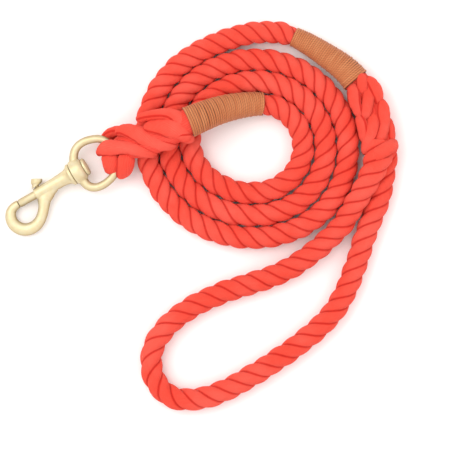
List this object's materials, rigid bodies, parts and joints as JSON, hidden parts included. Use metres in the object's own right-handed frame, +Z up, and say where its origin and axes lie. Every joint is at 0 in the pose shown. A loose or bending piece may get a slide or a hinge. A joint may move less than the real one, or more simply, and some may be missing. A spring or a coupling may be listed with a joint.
{
  "type": "rope training leash",
  "caption": "Laid cotton rope leash lying coiled, with a spliced handle loop at one end and a swivel bolt snap spliced on at the other, both splices bound with twine.",
  "frame": {"origin": "bottom centre of the box round the snap's metal pieces, on the surface that the leash lies on", "axes": "+X along the snap from its hook to its ring and on to the rope, +Y across it towards the thumb knob, +Z up"},
  "size_m": [0.2595, 0.2189, 0.0355],
  "materials": {
    "cotton_rope": "matte",
    "whipping_twine": "matte",
    "snap_metal": "satin",
    "spring_steel": "satin"
  },
  "bodies": {
    "rope": {"eye_rope": "cotton_rope", "coiled_rope": "cotton_rope", "handle_rope": "cotton_rope", "snap_whipping": "whipping_twine", "handle_whipping": "whipping_twine", "snap_splice_strand_1": "cotton_rope", "snap_splice_strand_2": "cotton_rope", "snap_splice_strand_3": "cotton_rope", "handle_splice_strand_1": "cotton_rope", "handle_splice_strand_2": "cotton_rope", "handle_splice_strand_3": "cotton_rope"},
    "swivel_eye": {"swivel_eye": "snap_metal"},
    "snap": {"snap_body": "snap_metal", "swivel_rivet": "snap_metal", "bolt_spring": "spring_steel"},
    "bolt": {"snap_bolt": "snap_metal", "thumb_knob": "snap_metal"}
  },
  "joints": [
    {"name": "ring_pivot", "type": "hinge", "parent": "rope", "child": "swivel_eye", "pos_m": [0.0415, 0.002, 0.012], "axis": [0, 1, 0], "range_deg": [0, 90]},
    {"name": "swivel_spin", "type": "hinge", "parent": "swivel_eye", "child": "snap", "pos_m": [0.0415, 0.002, 0.012], "axis": [-0.9944, 0, -0.1061], "continuous": true},
    {"name": "bolt_slide", "type": "slide", "parent": "snap", "child": "bolt", "axis": [0.9944, 0, 0.1061], "range_m": [0, 0.01], "stiffness_N_per_m": 400, "springref_m": -0.006, "deforming": ["bolt_spring"]}
  ]
}
